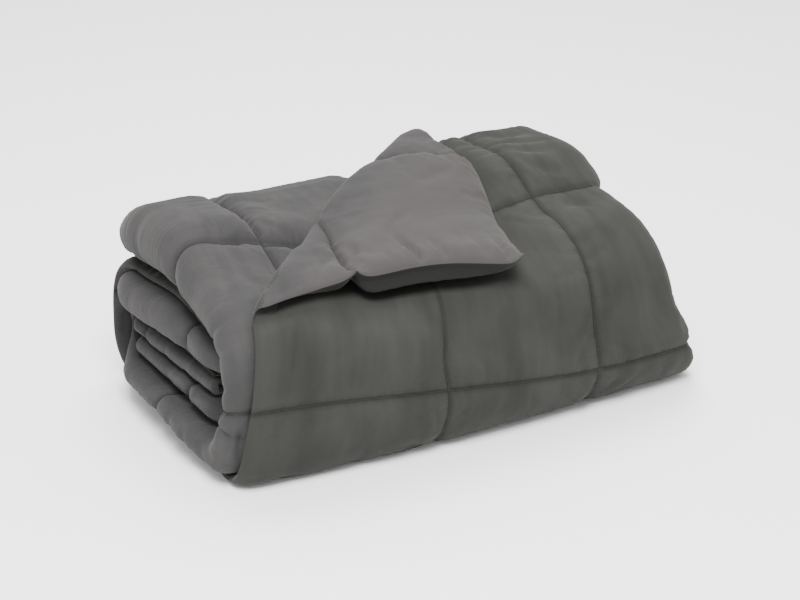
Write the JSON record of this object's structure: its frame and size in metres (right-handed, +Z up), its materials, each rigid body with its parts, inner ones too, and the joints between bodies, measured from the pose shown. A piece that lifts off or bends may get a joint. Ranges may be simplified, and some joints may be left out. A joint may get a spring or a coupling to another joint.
{
  "type": "folded duvet",
  "caption": "Quilted duvet with a velvet face and a brushed reverse, folded lengthways, rolled flat, with one corner turned back over the top.",
  "frame": {"origin": "centre of the bundle's outline, on the surface it lies on", "axes": "+X along the bundle from its open folded end, +Y from its front to its back, +Z up"},
  "size_m": [0.8582, 0.54, 0.3763],
  "materials": {
    "velvet_face": "short pile velvet, matt with a soft sheen",
    "brushed_reverse": "brushed microfibre, matt"
  },
  "bodies": {
    "root": {"duvet": "velvet_face"}
  },
  "joints": []
}
